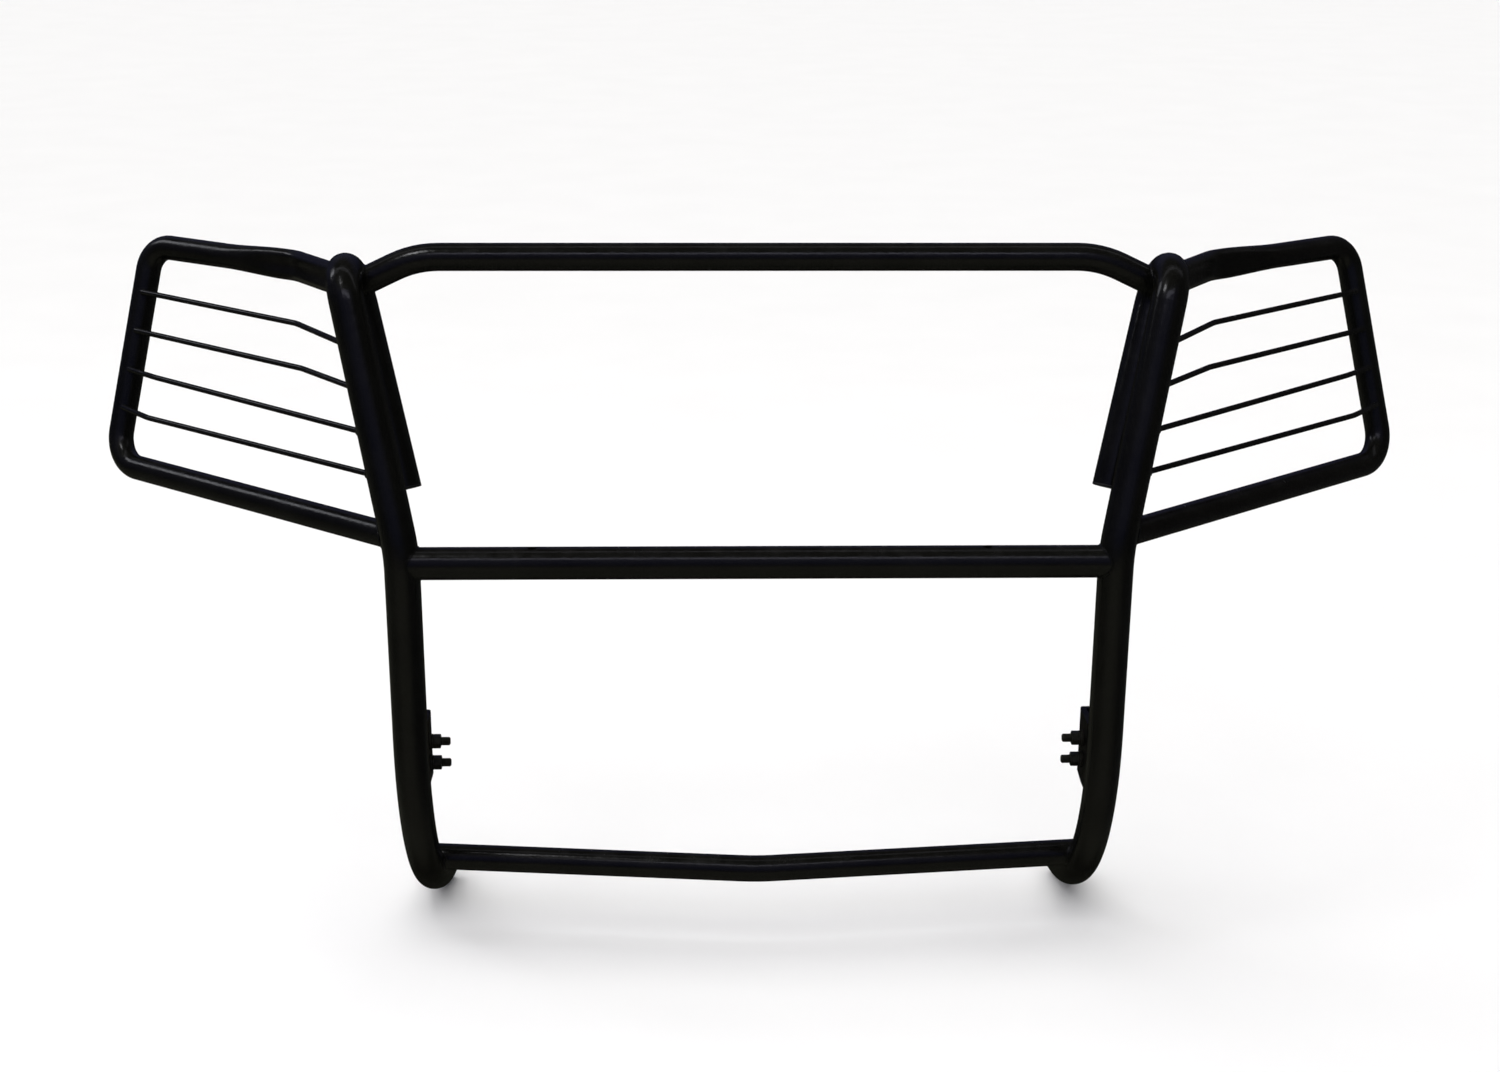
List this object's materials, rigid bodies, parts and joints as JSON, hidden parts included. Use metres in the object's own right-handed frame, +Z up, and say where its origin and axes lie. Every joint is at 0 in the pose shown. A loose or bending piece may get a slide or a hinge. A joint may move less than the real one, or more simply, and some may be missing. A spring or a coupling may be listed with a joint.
{
  "type": "front grille guard",
  "caption": "Welded tubular front grille guard with hooked uprights, crossbars, wrap-round headlight guards with thin rods, curled feet and bolt-on frame brackets.",
  "frame": {"origin": "middle of the guard's bounding box in plan, level with the lowest point of its feet", "axes": "+X across the vehicle to the right of a person facing its front, +Y backwards towards the vehicle, +Z up"},
  "size_m": [1.9204, 0.4878, 1.0203],
  "materials": {
    "frame_powder_coat": "semi-gloss black powder coat with slight orange peel",
    "bracket_powder_coat": "satin black powder coat",
    "black_zinc_fastener": "black zinc plating on machined steel",
    "black_zinc_washer": "black zinc plating on stamped steel",
    "cap_plastic": "fine-grained black polyethylene"
  },
  "bodies": {
    "root": {"top_crossbar": "frame_powder_coat", "middle_crossbar": "frame_powder_coat", "bottom_crossbar": "frame_powder_coat", "left_upright_tube": "frame_powder_coat", "left_headlight_guard_tube": "frame_powder_coat", "left_headlight_rod_1": "frame_powder_coat", "left_headlight_rod_2": "frame_powder_coat", "left_headlight_rod_3": "frame_powder_coat", "left_headlight_rod_4": "frame_powder_coat", "left_mounting_lug": "frame_powder_coat", "left_frame_bracket": "bracket_powder_coat", "left_rear_leg_end_cap": "cap_plastic", "left_foot_end_cap": "cap_plastic", "left_bracket_bolts": "black_zinc_fastener", "left_bracket_nuts": "black_zinc_fastener", "left_bracket_flat_washers": "black_zinc_washer", "left_bracket_lock_washers": "black_zinc_washer", "right_upright_tube": "frame_powder_coat", "right_headlight_guard_tube": "frame_powder_coat", "right_headlight_rod_1": "frame_powder_coat", "right_headlight_rod_2": "frame_powder_coat", "right_headlight_rod_3": "frame_powder_coat", "right_headlight_rod_4": "frame_powder_coat", "right_mounting_lug": "frame_powder_coat", "right_frame_bracket": "bracket_powder_coat", "right_rear_leg_end_cap": "cap_plastic", "right_foot_end_cap": "cap_plastic", "right_bracket_bolts": "black_zinc_fastener", "right_bracket_nuts": "black_zinc_fastener", "right_bracket_flat_washers": "black_zinc_washer", "right_bracket_lock_washers": "black_zinc_washer"}
  },
  "joints": []
}
